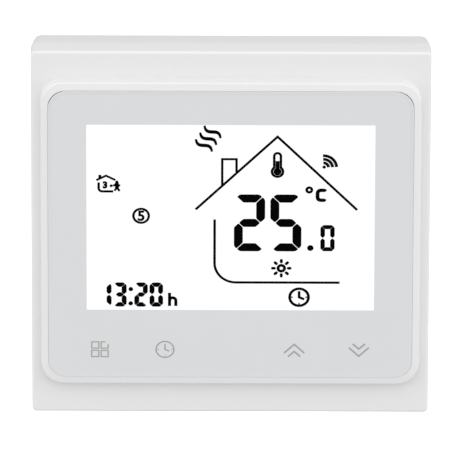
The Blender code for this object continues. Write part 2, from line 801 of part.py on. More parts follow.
def varistor():
    disc_r = mm(4.4)
    profile = [
        (0.0, mm(1.3)), (disc_r * 0.8, mm(1.3)), (disc_r, mm(0.5)), (disc_r, mm(-0.5)),
        (disc_r * 0.8, mm(-1.3)), (0.0, mm(-1.3)),
    ]
    disc = turned("varistor", profile, mm(15.6, 15.4, 5.2), 18, "+Z")
    legs = [
        wire("leg", [(x, PART_Y, mm(5.2)), (x, mm(14.0), mm(5.2))], mm(0.35)) for x in mm(13.6, 17.6)
    ]
    join(disc, *legs)
    return finish(disc, "varistor_blue")


def fuse():
    """Axial fuse on bent legs."""
    y = mm(13.0)
    z = mm(-5.5)
    ends = mm(-3.6, 5.4)
    profile = [
        (0.0, mm(3.4)), (mm(1.4), mm(3.4)), (mm(1.8), mm(2.9)), (mm(1.8), mm(-2.9)),
        (mm(1.4), mm(-3.4)), (0.0, mm(-3.4)),
    ]
    body = turned("fuse", profile, (sum(ends) / 2, y, z), 16, "+X")
    legs = [
        wire("leg", [(x, PART_Y, z), (x, y, z), (sum(ends) / 2, y, z)], mm(0.32)) for x in ends
    ]
    join(body, *legs)
    return finish(body, "fuse_beige")


# ---- Terminals: each screw draws its clamp up against a fixed bar ----------------
def pole_positions():
    return [(i - (POLE_COUNT - 1) / 2) * POLE_PITCH for i in range(POLE_COUNT)]


def terminal_block():
    pocket = mm(5.6, 7.0)
    entry = mm(3.5)
    partition_y = mm(23.6)
    head_well_y = mm(24.6)
    body = block("terminal_block", around(0, POLE_COUNT * POLE_PITCH), BLOCK_Y, BLOCK_Z, mm(0.4), 1)
    cutters = []
    for x in pole_positions():
        cutters.append(
            block("pocket", around(x, pocket[0]), mm(10.8, 23.6), around(TERMINAL_Z, pocket[1]))
        )
        cutters.append(block("bar_slot", around(x, mm(3.4)), mm(9.0, 18.2), mm(-20.0, -11.8)))
        cutters.append(block("entry", around(x, entry), mm(13.5, 17.0), mm(-24.0, -20.0)))
        cutters.append(rod("screw_hole", x, TERMINAL_Z, (partition_y - mm(1), mm(29)), mm(1.6), 12))
        cutters.append(rod("head_well", x, TERMINAL_Z, (head_well_y, mm(29)), mm(2.6), 16))
    cut(body, *cutters)
    return finish(body, "terminal_green")


def terminal_screw_mesh():
    """Cheese-head slotted screw about its own axis; the head's seat is at the origin."""
    head_r, head_height, shank_r, length = mm(2.2, 2.3, 1.25, 6.8)
    profile = [
        (0.0, head_height), (head_r * 0.86, head_height), (head_r, head_height * 0.8), (head_r, 0.0),
        (shank_r, 0.0), (shank_r, -length), (0.0, -length),
    ]
    screw = turned("screw", profile, (0.0, 0.0, 0.0), 16)
    slot = block("slot", around(0, head_r * 3), (head_height - mm(1.1), head_height + mm(1)), around(0, mm(0.8)))
    cut(screw, slot)
    return bake_upright(screw)


def terminal_clamp_mesh():
    """Open-ended cage about the screw's axis; the wire passes through it along Z."""
    width, depth = mm(5.0, 5.8)
    window = mm(3.6)
    window_y = mm(13.5, 18.1)
    cage = block("cage", around(0, width), CLAMP_Y, around(0, depth))
    passage = block("passage", around(0, window), window_y, around(0, depth + mm(2)))
    thread = rod("thread", 0.0, 0.0, mm(17.0, 21.5), mm(1.55), 12)
    cut(cage, passage)
    cut(cage, thread)
    mesh = bake(cage)
    mesh.transform(Matrix.Translation((0.0, sum(CLAMP_Y) / 2, 0.0)))
    return mesh


def terminal_bar_mesh():
    """Bent strip: one leg under the screw's tip, the other down to the board."""
    width = around(0, mm(2.8))
    over = block("bar", width, BAR_Y, mm(-21.0, -12.3))
    down = block("leg", width, (PART_Y, BAR_Y[1] - mm(0.2)), mm(-13.1, -12.3))
    join(over, down)
    middle = Vector(over.location)
    mesh = bake(over)
    mesh.transform(Matrix.Translation(middle))
    return mesh


def terminals():
    """Six poles; the origins of each screw and clamp lie on the screw's axis."""
    screw = terminal_screw_mesh()
    clamp = terminal_clamp_mesh()
    bar = terminal_bar_mesh()
    seat_y = mm(24.9)
    for number, x in enumerate(pole_positions(), start=1):
        finish(repeat(f"terminal_screw_{number}", screw, (x, seat_y, TERMINAL_Z)), "zinc_steel")
        finish(repeat(f"terminal_clamp_{number}", clamp, (x, 0.0, TERMINAL_Z)), "brass")
        finish(repeat(f"terminal_bar_{number}", bar, (x, 0.0, 0.0)), "brass")


def build_front_unit():
    """Everything that pulls off the plate; its slide's axis passes through the origin."""
    slide = bpy.data.objects.new("front_unit", None)
    PARTS.objects.link(slide)
    ride_on(
        slide, front_housing(), touch_glass(), glass_adhesive(), lcd_panel(), lcd_holder(),
        backlight_diffuser(), lcd_connector(), main_board(), *touch_springs(), microcontroller(),
        wifi_module(), room_sensor(), pin_header(), rear_cover(), *case_screws(),
    )


def build_wall_part():
    mounting_plate()
    power_box()
    power_board()
    socket_header()
    box_screws()
    mounting_screws()
    relay_case()
    relay_coil()
    relay_yoke()
    relay_armature()
    relay_contact()
    transformer()
    supply_capacitor()
    filter_capacitor()
    varistor()
    fuse()
    terminal_block()
    terminals()


build_front_unit()
build_wall_part()
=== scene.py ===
"""Looks of the wall thermostat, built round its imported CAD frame.

Everything is in metres and in the frame's own axes: the wall plane is Y = 0, the room
lies on the -Y side, +Z is up and +X is to the right of someone who looks at the screen.
"""
import json
import math

import bmesh
import bpy
from mathutils import Matrix, Vector

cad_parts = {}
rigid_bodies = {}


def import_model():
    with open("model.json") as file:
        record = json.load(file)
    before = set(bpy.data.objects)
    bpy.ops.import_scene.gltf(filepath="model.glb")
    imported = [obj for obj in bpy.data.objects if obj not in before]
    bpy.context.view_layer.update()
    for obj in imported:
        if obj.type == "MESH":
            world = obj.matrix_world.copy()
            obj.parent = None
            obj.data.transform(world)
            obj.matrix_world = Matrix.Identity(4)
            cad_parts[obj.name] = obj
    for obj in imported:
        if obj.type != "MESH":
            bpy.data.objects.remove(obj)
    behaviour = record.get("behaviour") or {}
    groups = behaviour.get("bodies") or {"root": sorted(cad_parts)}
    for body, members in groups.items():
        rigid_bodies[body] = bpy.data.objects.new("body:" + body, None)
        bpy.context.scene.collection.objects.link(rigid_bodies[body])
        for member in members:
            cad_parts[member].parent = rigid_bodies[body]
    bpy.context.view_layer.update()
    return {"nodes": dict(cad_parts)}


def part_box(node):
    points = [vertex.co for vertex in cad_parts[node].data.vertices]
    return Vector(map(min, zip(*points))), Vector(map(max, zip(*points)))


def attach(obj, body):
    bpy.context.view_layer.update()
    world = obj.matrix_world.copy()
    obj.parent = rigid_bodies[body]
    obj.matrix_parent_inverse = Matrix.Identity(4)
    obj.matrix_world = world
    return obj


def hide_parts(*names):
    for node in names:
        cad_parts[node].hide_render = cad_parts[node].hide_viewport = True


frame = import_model()
NODES = frame["nodes"]


def mm(*values):
    """Millimetres to metres: one number, or a tuple of them."""
    metres = tuple(value * 0.001 for value in values)
    return metres[0] if len(metres) == 1 else metres


# ---- Places taken from the frame -------------------------------------------------
SHELL_LOW, SHELL_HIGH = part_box("front_housing")
GLASS_LOW, GLASS_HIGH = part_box("touch_glass")
LCD_LOW, LCD_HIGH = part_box("lcd_panel")
FACE = SHELL_HIGH.x - SHELL_LOW.x       # width and height of the square front
BEZEL_Y = SHELL_LOW.y                   # front of the bezel, where it meets the glass
WALL_Y = SHELL_HIGH.y                   # back edge of the shell, on the wall
PRINT = mm(0.012)                       # thickness of the print on the front of the pane
GLASS_Y = (GLASS_LOW.y + PRINT, GLASS_HIGH.y)
GLASS_SIZE = (GLASS_HIGH.x - GLASS_LOW.x, GLASS_HIGH.z - GLASS_LOW.z)
SCREEN_Z = (GLASS_LOW.z + GLASS_HIGH.z) / 2
DISPLAY_Z = (LCD_LOW.z + LCD_HIGH.z) / 2

# ---- Form of the front shell -----------------------------------------------------
BORDER_Y = BEZEL_Y + mm(2.4)            # plane of the border round the bezel
CORNER = mm(1.0)                        # corner radius at the border
CORNER_AT_WALL = mm(1.6)
RIM_FILLET = mm(0.55)
LEAN = mm(0.9)                          # how far top and bottom come in at the wall
LEAN_ASIDE = mm(0.65)                   # how far the left and right walls come in there
LEAN_FROM = 0.4                         # share of the depth where they start to come in
BEZEL_SIZE = mm(82.0, 72.1)
BEZEL_CORNER = mm(5.0)
BEZEL_FILLET = mm(0.4)
BEZEL_DRAFT = mm(0.1)
BEZEL_FALL = mm(0.2)                    # the bezel's face slopes back this much to its edge
COVE = mm(0.1)                          # hollow fillet at the foot of the bezel
SEAM = mm(0.03)                         # gap round the glass
SEAM_FILLET = mm(0.08)
SEAM_DEPTH = mm(0.14)
SEAT_CORNER = mm(3.9)                   # corner radius of the seat for the glass
GLASS_CORNER = mm(4.25)                 # the pane's upper corners, where its gap widens
LEDGE_Y = BEZEL_Y + mm(2.3)             # shelf behind the glass
LEDGE_WINDOW = mm(70.6, 52.6)
CAVITY_Y = BEZEL_Y + mm(3.9)
CAVITY = mm(80.2)
ARC_STEPS = 6                           # steps in a small fillet
CORNER_STEPS = 12                       # steps in a corner of a loop

# ---- Glass, display and print ----------------------------------------------------
WINDOW = mm(62.15, 44.1)                # clear window in the printed glass
WINDOW_Z = DISPLAY_Z - mm(0.06)         # middle of the clear window
WINDOW_LIP = mm(0.05)                   # how far the display lies behind the front of the glass
EDGE_BAND = mm(0.9)                     # clear polished edge outside the print
EDGE_ROUND = mm(0.07)
INK = mm(0.02)                          # thickness of the display segments

FRONT = "front_unit"
WALL_PART = "wall_part"


# ---- Materials -------------------------------------------------------------------
class Surface:
    """A Principled material with procedural layers in the piece's own coordinates."""

    def __init__(self, name, colour, roughness, metallic=0.0, **sockets):
        self.material = bpy.data.materials.new(name)
        self.material.use_nodes = True
        self.nodes = self.material.node_tree.nodes
        self.links = self.material.node_tree.links
        self.shader = self.nodes["Principled BSDF"]
        self.place = self.nodes.new("ShaderNodeTexCoord").outputs["Object"]
        self.shader.inputs["Base Color"].default_value = (*colour, 1.0)
        self.shader.inputs["Roughness"].default_value = roughness
        self.shader.inputs["Metallic"].default_value = metallic
        for socket, value in sockets.items():
            self.shader.inputs[socket.replace("_", " ")].default_value = value

    def stretched(self, stretch):
        mapping = self.nodes.new("ShaderNodeMapping")
        mapping.inputs["Scale"].default_value = stretch
        self.links.new(self.place, mapping.inputs["Vector"])
        return mapping.outputs["Vector"]

    def noise(self, size, detail=2.0, stretch=(1.0, 1.0, 1.0)):
        """Cloudy noise whose features are about size across."""
        texture = self.nodes.new("ShaderNodeTexNoise")
        texture.inputs["Scale"].default_value = 1.0 / size
        texture.inputs["Detail"].default_value = detail
        self.links.new(self.stretched(stretch), texture.inputs["Vector"])
        return texture.outputs["Fac"]

    def cells(self, size, feature="F1", stretch=(1.0, 1.0, 1.0)):
        texture = self.nodes.new("ShaderNodeTexVoronoi")
        texture.feature = feature
        texture.inputs["Scale"].default_value = 1.0 / size
        self.links.new(self.stretched(stretch), texture.inputs["Vector"])
        return texture.outputs["Distance"]

    def stripes(self, pitch, direction="X"):
        texture = self.nodes.new("ShaderNodeTexWave")
        texture.bands_direction = direction
        texture.inputs["Scale"].default_value = math.pi / (10.0 * pitch)
        self.links.new(self.place, texture.inputs["Vector"])
        return texture.outputs["Fac"]

    def beyond(self, axis, limit):
        """1 where the piece's own coordinate is past the limit, else 0."""
        split = self.nodes.new("ShaderNodeSeparateXYZ")
        self.links.new(self.place, split.inputs["Vector"])
        return self.math("GREATER_THAN", split.outputs[axis], limit)

    def math(self, operation, first, second):
        node = self.nodes.new("ShaderNodeMath")
        node.operation = operation
        for socket, value in zip(node.inputs, (first, second)):
            if isinstance(value, float):
                socket.default_value = value
            else:
                self.links.new(value, socket)
        return node.outputs["Value"]

    def remap(self, factor, low, high, source=(0.0, 1.0)):
        node = self.nodes.new("ShaderNodeMapRange")
        node.inputs["From Min"].default_value = source[0]
        node.inputs["From Max"].default_value = source[1]
        node.inputs["To Min"].default_value = low
        node.inputs["To Max"].default_value = high
        self.links.new(factor, node.inputs["Value"])
        return node.outputs["Result"]

    def blend(self, factor, first, second):
        """A colour between two; each may be a colour or another blend."""
        node = self.nodes.new("ShaderNodeMix")
        node.data_type = "RGBA"
        self.links.new(factor, node.inputs["Factor"])
        for socket, colour in ((node.inputs[6], first), (node.inputs[7], second)):
            if isinstance(colour, tuple):
                socket.default_value = (*colour, 1.0)
            else:
                self.links.new(colour, socket)
        return node.outputs[2]

    def paint(self, colour):
        self.links.new(colour, self.shader.inputs["Base Color"])

    def gloss(self, factor):
        self.links.new(factor, self.shader.inputs["Roughness"])

    def metal(self, factor):
        self.links.new(factor, self.shader.inputs["Metallic"])

    def relief(self, height, depth, strength=1.0):
        """Bump whose height of 1 stands for depth."""
        bump = self.nodes.new("ShaderNodeBump")
        bump.inputs["Strength"].default_value = strength
        bump.inputs["Distance"].default_value = depth
        self.links.new(height, bump.inputs["Height"])
        self.links.new(bump.outputs["Normal"], self.shader.inputs["Normal"])


def shade(colour, factor):
    return tuple(channel * factor for channel in colour)


def moulded(name, colour, roughness, grain=mm(0.22), depth=mm(0.004), mottle=0.03, **sockets):
    """Moulded plastic: eroded-tool grain, faint flow mottling and uneven gloss."""
    surface = Surface(name, colour, roughness, **sockets)
    flow = surface.noise(mm(9.0), 3.0)
    fine = surface.noise(grain, 2.0)
    surface.paint(surface.blend(flow, shade(colour, 1.0 - mottle), shade(colour, 1.0 + mottle)))
    surface.gloss(surface.remap(fine, roughness - 0.06, roughness + 0.06, (0.3, 0.7)))
    surface.relief(fine, depth)
    return surface.material


def metal(name, colour, roughness, stretch=(1.0, 1.0, 1.0), grain=mm(0.25), depth=mm(0.003)):
    """Drawn, rolled or plated metal; the stretch gives its brushing a direction."""
    surface = Surface(name, colour, roughness, 1.0)
    streaks = surface.noise(grain, 3.0, stretch)
    clouds = surface.noise(mm(3.5), 3.0)
    surface.paint(surface.blend(clouds, shade(colour, 0.86), shade(colour, 1.08)))
    surface.gloss(surface.remap(streaks, roughness - 0.1, roughness + 0.14, (0.3, 0.7)))
    surface.relief(streaks, depth)
    return surface.material


def printed_glass_surface():
    """Back-printed pane: the print seen through a clear glossy front."""
    grey = (0.672, 0.680, 0.695)
    surface = Surface("printed_glass", grey, 0.45, Coat_Weight=1.0, Coat_Roughness=0.03)
    cloud = surface.noise(mm(14.0), 2.0)
    dots = surface.cells(mm(0.16))
    tone = surface.blend(cloud, shade(grey, 0.985), shade(grey, 1.015))
    surface.paint(surface.blend(surface.remap(dots, 0.0, 0.06), tone, shade(grey, 0.9)))
    surface.relief(surface.noise(mm(20.0)), mm(0.01))
    return surface.material


def edge_glass_surface():
    """Clear polished edge outside the print, painted darker towards its upper side: a painted shadow
    of the seam above it, seen through the glass.
    """
    surface = Surface("edge_glass", (0.65, 0.67, 0.68), 0.2, Coat_Weight=1.0, Coat_Roughness=0.02)
    split = surface.nodes.new("ShaderNodeSeparateXYZ")
    surface.links.new(surface.place, split.inputs["Vector"])
    height = surface.remap(split.outputs["Z"], 0.0, 1.0, (GLASS_LOW.z, GLASS_HIGH.z))
    # Painted shade: the colour runs from the lighter tone at the pane's foot to the darker one at
    # its top.
    surface.paint(surface.blend(height, (0.678, 0.688, 0.705), (0.640, 0.650, 0.664)))
    surface.relief(surface.noise(mm(0.6)), mm(0.002))
    return surface.material


def display_surface():
    """Lit liquid-crystal panel: near white, with faint cells and an even backlight."""
    white = (0.56, 0.57, 0.57)
    surface = Surface("lit_display", white, 0.35, Emission_Strength=0.46)
    surface.shader.inputs["Emission Color"].default_value = (1.0, 1.0, 1.0, 1.0)
    grid = surface.math("MULTIPLY", surface.stripes(mm(0.3), "X"), surface.stripes(mm(0.3), "Z"))
    surface.paint(surface.blend(grid, shade(white, 0.98), white))
    return surface.material


def segment_surface():
    """Switched-on liquid crystal: almost black, barely uneven."""
    black = (0.0015, 0.0015, 0.002)
    surface = Surface("display_segment", black, 0.6, Specular_IOR_Level=0.0)
    surface.paint(surface.blend(surface.noise(mm(1.2)), shade(black, 0.5), shade(black, 2.0)))
    return surface.material


def key_print_surface():
    grey = (0.355, 0.345, 0.330)
    surface = Surface("key_print", grey, 0.5, Specular_IOR_Level=0.3)
    surface.paint(surface.blend(surface.noise(mm(0.4)), shade(grey, 0.93), shade(grey, 1.07)))
    return surface.material


def circuit_board_surface():
    """Green solder mask with raised tracks and tinned pads."""
    green = (0.015, 0.135, 0.060)
    surface = Surface("circuit_board", green, 0.35)
    across = surface.stripes(mm(1.27), "X")
    up = surface.stripes(mm(1.9), "Z")
    regions = surface.noise(mm(6.0), 0.0)
    routes = surface.math("GREATER_THAN", regions, 0.5)
    tracks = surface.nodes.new("ShaderNodeMix")
    surface.links.new(routes, tracks.inputs["Factor"])
    surface.links.new(across, tracks.inputs[2])
    surface.links.new(up, tracks.inputs[3])
    track = surface.math("GREATER_THAN", tracks.outputs[0], 0.72)
    pad = surface.math("LESS_THAN", surface.cells(mm(2.54)), 0.13)
    mask = surface.blend(track, green, shade(green, 1.9))
    surface.paint(surface.blend(pad, mask, (0.62, 0.60, 0.56)))
    surface.gloss(surface.remap(pad, 0.38, 0.22))
    surface.relief(surface.math("MAXIMUM", track, pad), mm(0.03), 0.6)
    return surface.material


def zebra_surface():
    """Elastomer strip of thin conducting and insulating layers."""
    surface = Surface("zebra_strip", (0.5, 0.5, 0.52), 0.65)
    layer = surface.math("GREATER_THAN", surface.stripes(mm(0.36), "X"), 0.5)
    surface.paint(surface.blend(layer, (0.62, 0.64, 0.68), (0.05, 0.05, 0.06)))
    surface.relief(surface.noise(mm(0.3)), mm(0.004))
    return surface.material


def zoned_surface(name, axis, limit, near, far, roughness=0.35):
    """Plastic up to a limit along an axis and metal past it, such as pins out of a base."""
    surface = Surface(name, near, roughness)
    zone = surface.beyond(axis, limit)
    fine = surface.noise(mm(0.3))
    base = surface.blend(fine, shade(near, 0.85), shade(near, 1.1))
    surface.paint(surface.blend(zone, base, far))
    surface.metal(zone)
    surface.gloss(surface.remap(fine, roughness - 0.06, roughness + 0.08, (0.3, 0.7)))
    surface.relief(fine, mm(0.003))
    return surface.material


def winding_surface():
    """Coil of enamelled wire laid turn by turn, with painted shade in the grooves between the turns.
    """
    copper = (0.60, 0.20, 0.07)
    surface = Surface("coil_winding", copper, 0.3, 1.0, Coat_Weight=0.6)
    turns = surface.stripes(mm(0.22), "Y")
    # Painted shade: each groove between turns is painted down to 0.35 of the copper.
    surface.paint(surface.blend(turns, shade(copper, 0.35), copper))
    surface.relief(turns, mm(0.06))
    return surface.material


def foam_surface():
    surface = Surface("foam_tape", (0.03, 0.03, 0.032), 0.85)
    pores = surface.cells(mm(0.14))
    # Painted shade: the pits of the pores are painted darker than their rims.
    surface.paint(surface.blend(pores, (0.012, 0.012, 0.014), (0.05, 0.05, 0.055)))
    surface.relief(pores, mm(0.03))
    return surface.material


def floor_surface():
    pale = (0.93, 0.93, 0.93)
    surface = Surface("pale_floor", pale, 0.9, Specular_IOR_Level=0.0, Emission_Strength=0.3)
    surface.shader.inputs["Emission Color"].default_value = (1.0, 1.0, 1.0, 1.0)
    surface.paint(surface.blend(surface.noise(mm(60.0)), shade(pale, 0.995), pale))
    return surface.material


WHITE = (0.765, 0.760, 0.766)
LOOKS = {
    "white_abs": moulded("white_abs", WHITE, 0.42, mottle=0.006),
    "glass": printed_glass_surface(),
    "edge_glass": edge_glass_surface(),
    "lcd": display_surface(),
    "segment": segment_surface(),
    "key_print": key_print_surface(),
    "tape": foam_surface(),
    "acrylic": moulded("light_guide", (0.80, 0.83, 0.84), 0.18, mottle=0.01, Coat_Weight=0.5),
    "silicone": zebra_surface(),
    "circuit_board": circuit_board_surface(),
    "spring_steel": metal("spring_steel", (0.60, 0.59, 0.56), 0.28, (1.0, 6.0, 1.0)),
    "chip_black": moulded("chip_epoxy", (0.022, 0.022, 0.025), 0.5, grain=mm(0.12), mottle=0.2),
    "connector_black": moulded("connector_nylon", (0.016, 0.016, 0.018), 0.45, mottle=0.15),
    "zinc_steel": metal("zinc_plate", (0.58, 0.60, 0.62), 0.32, (6.0, 1.0, 1.0)),
    "box_white": moulded(
        "box_plastic", (0.62, 0.62, 0.60), 0.46, grain=mm(0.4), depth=mm(0.015)
    ),
    "relay_blue": moulded("relay_case", (0.012, 0.10, 0.36), 0.3, mottle=0.05, Coat_Weight=0.3),
    "copper": winding_surface(),
    "contact": metal("contact_copper", (0.66, 0.32, 0.17), 0.3, (1.0, 5.0, 1.0)),
    "ferrite": moulded(
        "ferrite", (0.035, 0.035, 0.04), 0.55, grain=mm(0.15), depth=mm(0.012), mottle=0.2
    ),
    "capacitor_sleeve": moulded(
        "shrunk_sleeve", (0.012, 0.012, 0.02), 0.22, mottle=0.2, Coat_Weight=0.5
    ),
    "film_yellow": moulded("film_box", (0.70, 0.46, 0.04), 0.4, mottle=0.05),
    "varistor_blue": moulded(
        "dipped_blue", (0.015, 0.07, 0.26), 0.35, grain=mm(0.5), depth=mm(0.02)
    ),
    "fuse_beige": moulded("lacquer", (0.55, 0.43, 0.26), 0.3, mottle=0.08, Coat_Weight=0.6),
    "terminal_green": moulded(
        "terminal_nylon", (0.025, 0.20, 0.075), 0.4, grain=mm(0.3), depth=mm(0.008)
    ),
    "brass": metal("brass", (0.66, 0.46, 0.19), 0.25, (1.0, 1.0, 6.0)),
    "header": zoned_surface("pin_header", "Y", mm(-3.05), (0.016, 0.016, 0.018), (0.72, 0.53, 0.24)),
    "module": zoned_surface("radio_module", "Y", mm(-4.65), (0.02, 0.10, 0.05), (0.62, 0.62, 0.61)),
    "sensor": zoned_surface("sensor", "Z", mm(-34.9), (0.02, 0.05, 0.03), (0.6, 0.6, 0.58), 0.25),
}


# ---- Mesh helpers ----------------------------------------------------------------
def piece(name, bm, look, body):
    """A finished piece from a bmesh, with its material and body."""
    bmesh.ops.recalc_face_normals(bm, faces=bm.faces)
    mesh = bpy.data.meshes.new(name)
    bm.to_mesh(mesh)
    bm.free()
    mesh.materials.append(LOOKS[look])
    obj = bpy.data.objects.new(name, mesh)
    bpy.context.scene.collection.objects.link(obj)
    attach(obj, body)
    return obj


def shade_by_angle(obj, degrees=28.0):
    """Smooth shading that keeps flat faces flat beside their fillets."""
    obj.data.shade_smooth()
    obj.data.set_sharp_from_angle(angle=math.radians(degrees))
    weighted = obj.modifiers.new("weighted_normals", "WEIGHTED_NORMAL")
    weighted.keep_sharp = True
    return obj


def arc(centre, radius, start, end, steps):
    """Points on an arc between two angles in degrees, both ends included."""
    points = []
    for i in range(steps + 1):
        angle = math.radians(start + (end - start) * i / steps)
        points.append((centre[0] + radius * math.cos(angle), centre[1] + radius * math.sin(angle)))
    return points


def rounded_loop(half_x, half_z, radius, centre_z=0.0, steps=CORNER_STEPS, low_radius=None):
    """Anticlockwise outline of a rectangle with round corners, as (x, z) points.

    The two lower corners may have a radius of their own.
    """
    points = []
    for number, (sx, sz) in enumerate(((1, 1), (-1, 1), (-1, -1), (1, -1))):
        turn = low_radius if low_radius and sz < 0 else radius
        centre = (sx * (half_x - turn), centre_z + sz * (half_z - turn))
        points += arc(centre, turn, 90.0 * number, 90.0 * number + 90.0, steps)
    return points


def loft(rings, closed=False, caps=False):
    """Skin through (y, loop) rings that all have the same number of points."""
    bm = bmesh.new()
    loops = [[bm.verts.new((x, y, z)) for x, z in loop] for y, loop in rings]
    pairs = list(zip(loops, loops[1:]))
    if closed:
        pairs.append((loops[-1], loops[0]))
    for first, second in pairs:
        for i in range(len(first)):
            j = (i + 1) % len(first)
            bm.faces.new((first[i], first[j], second[j], second[i]))
    if caps:
        bm.faces.new(loops[0])
        bm.faces.new(list(reversed(loops[-1])))
    return bm


def quarter(steps=ARC_STEPS):
    """(sine, 1 - cosine) along a quarter turn: run and rise of a small fillet."""
    angles = [math.pi / 2 * i / steps for i in range(steps + 1)]
    return [(math.sin(angle), 1.0 - math.cos(angle)) for angle in angles]


def cutter(name, bm):
    mesh = bpy.data.meshes.new(name)
    bmesh.ops.recalc_face_normals(bm, faces=bm.faces)
    bm.to_mesh(mesh)
    bm.free()
    return bpy.data.objects.new(name, mesh)


def carve(obj, cutters):
    """Cut the shapes out of the piece for good; the cutters go."""
    guides = bpy.data.collections.new(obj.name + "_cutters")
    bpy.context.scene.collection.children.link(guides)
    for shape in cutters:
        guides.objects.link(shape)
    boolean = obj.modifiers.new("carve", "BOOLEAN")
    boolean.operation = "DIFFERENCE"
    boolean.solver = "EXACT"
    boolean.operand_type = "COLLECTION"
    boolean.collection = guides
    settle(obj)
    for shape in list(guides.objects):
        bpy.data.objects.remove(shape, do_unlink=True)
    bpy.data.collections.remove(guides)


def settle(obj):
    """Turn the modifiers so far into plain mesh."""
    bpy.context.view_layer.update()
    graph = bpy.context.evaluated_depsgraph_get()
    mesh = bpy.data.meshes.new_from_object(obj.evaluated_get(graph))
    obj.modifiers.clear()
    obj.data = mesh


def slot_shape(name, x, y, z, corner):
    """A straight-sided cutter with round corners, running along Z."""
    width = (x[1] - x[0]) / 2
    depth = (y[1] - y[0]) / 2
    outline = [
        (px + (x[0] + x[1]) / 2, pz + (y[0] + y[1]) / 2)
        for px, pz in rounded_loop(width, depth, corner, steps=4)
    ]
    bm = loft([(z[0], outline), (z[1], outline)], caps=True)
    for vert in bm.verts:
        vert.co = Vector((vert.co.x, vert.co.z, vert.co.y))
    return cutter(name, bm)


# ---- Front shell -----------------------------------------------------------------
def side_ring(y):
    """Outer outline of the shell at a depth: upright first, then leaning in to the wall."""
    share = (y - BORDER_Y) / (WALL_Y - BORDER_Y)
    leant = max(0.0, (share - LEAN_FROM) / (1.0 - LEAN_FROM)) ** 1.2
    radius = CORNER + (CORNER_AT_WALL - CORNER) * share
    return y, rounded_loop(FACE / 2 - LEAN_ASIDE * leant, FACE / 2 - LEAN * leant, radius)


def bezel_ring(y, inset):
    """Outline concentric with the bezel; a negative inset lies outside it."""
    return y, rounded_loop(
        BEZEL_SIZE[0] / 2 - inset, BEZEL_SIZE[1] / 2 - inset, BEZEL_CORNER - inset, SCREEN_Z
    )


def shell_rings():
    """Rings from the back edge over the front to the window, then back inside to the wall."""
    back_round = mm(0.3)
    rim_start = BORDER_Y + RIM_FILLET
    back_end = WALL_Y - back_round
    bend = BORDER_Y + (WALL_Y - BORDER_Y) * LEAN_FROM
    bow_steps = 8
    rings = [side_ring(back_end + (bend - back_end) * i / bow_steps) for i in range(bow_steps + 1)]
    for run, rise in quarter():
        half = FACE / 2 - RIM_FILLET * rise
        y = rim_start - RIM_FILLET * run
        rings.append((y, rounded_loop(half, half, CORNER - RIM_FILLET * rise)))
    rings += [
        bezel_ring(BORDER_Y - COVE * rise, -COVE + COVE * run) for run, rise in quarter()
    ]
    wall_end = BEZEL_Y + BEZEL_FALL + BEZEL_FILLET
    rings += [
        bezel_ring(wall_end - BEZEL_FILLET * run, BEZEL_DRAFT + BEZEL_FILLET * rise)
        for run, rise in quarter()
    ]
    for run, rise in quarter(4):
        inset = -SEAM - SEAM_FILLET + SEAM_FILLET * run
        rings.append(glass_ring(BEZEL_Y + SEAM_FILLET * rise, inset, SEAT_CORNER))
    window = rounded_loop(LEDGE_WINDOW[0] / 2, LEDGE_WINDOW[1] / 2, mm(1.0), DISPLAY_Z)
    cavity = rounded_loop(CAVITY / 2, CAVITY / 2, mm(1.2))
    rings += [
        glass_ring(BEZEL_Y + SEAM_DEPTH, -SEAM, SEAT_CORNER),
        glass_ring(BEZEL_Y + SEAM_DEPTH, mm(0.02), SEAT_CORNER),
        glass_ring(LEDGE_Y, mm(0.02), SEAT_CORNER),
        (LEDGE_Y, window),
        (CAVITY_Y, window),
        (CAVITY_Y, cavity),
        (back_end, cavity),
        (WALL_Y, rounded_loop(CAVITY / 2 + back_round, CAVITY / 2 + back_round, mm(1.5))),
        (WALL_Y, rounded_loop(
            FACE / 2 - LEAN_ASIDE - back_round, FACE / 2 - LEAN - back_round,
            CORNER_AT_WALL - back_round,
        )),
    ]
    return rings


def front_shell():
    """One-piece front: bowed sides, border, bezel with its cove, and the glass seat."""
    shell = piece("front_shell", loft(shell_rings(), closed=True), "white_abs", FRONT)
    bottom = (SHELL_LOW.z - mm(1), SHELL_LOW.z + mm(4))
    vent_half, vent_pitch = mm(0.7), mm(5.0)
    vent_y = mm(-8.2, -4.2)
    cuts = []
    for i in range(-3, 4):
        vent_x = (i * vent_pitch - vent_half, i * vent_pitch + vent_half)
        cuts.append(slot_shape(f"vent_{i}", vent_x, vent_y, bottom, vent_half * 0.95))
    release_x, release_y = mm(-5, 5), (WALL_Y - mm(1.6), WALL_Y + mm(1))
    cuts.append(slot_shape("release", release_x, release_y, bottom, mm(0.5)))
    carve(shell, cuts)
    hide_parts("front_housing")
    return shade_by_angle(shell)


# ---- Glass and display -----------------------------------------------------------
def glass_ring(y, inset, corner=GLASS_CORNER):
    return y, rounded_loop(
        GLASS_SIZE[0] / 2 - inset, GLASS_SIZE[1] / 2 - inset, corner - inset, SCREEN_Z,
        low_radius=SEAT_CORNER - inset,
    )


def window_ring(y, spare):
    """Sharp-cornered outline of the clear window, grown by spare."""
    return y, rounded_loop(
        WINDOW[0] / 2 + spare, WINDOW[1] / 2 + spare, mm(0.12) + spare, WINDOW_Z
    )


def printed_glass():
    """The printed pane round its clear window, with the polished edge left clear."""
    front, back = GLASS_Y
    hold = mm(1.0)
    lip_y = front + WINDOW_LIP
    rings = [glass_ring(back, mm(0.1)), glass_ring(back - mm(0.1), 0.0)]
    for run, rise in quarter():
        rings.append(glass_ring(front + EDGE_ROUND - EDGE_ROUND * run, EDGE_ROUND * rise))
    edge_faces = len(rings) * (4 * CORNER_STEPS + 4)
    rings += [
        glass_ring(front, EDGE_BAND),
        window_ring(front, 0.0),
        window_ring(lip_y, 0.0),
        window_ring(lip_y, hold),
        window_ring(back, hold),
    ]
    pane = piece("printed_glass", loft(rings, closed=True), "glass", FRONT)
    pane.data.materials.append(LOOKS["edge_glass"])
    for face in pane.data.polygons[:edge_faces]:
        face.material_index = 1
    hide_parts("touch_glass")
    return shade_by_angle(pane)


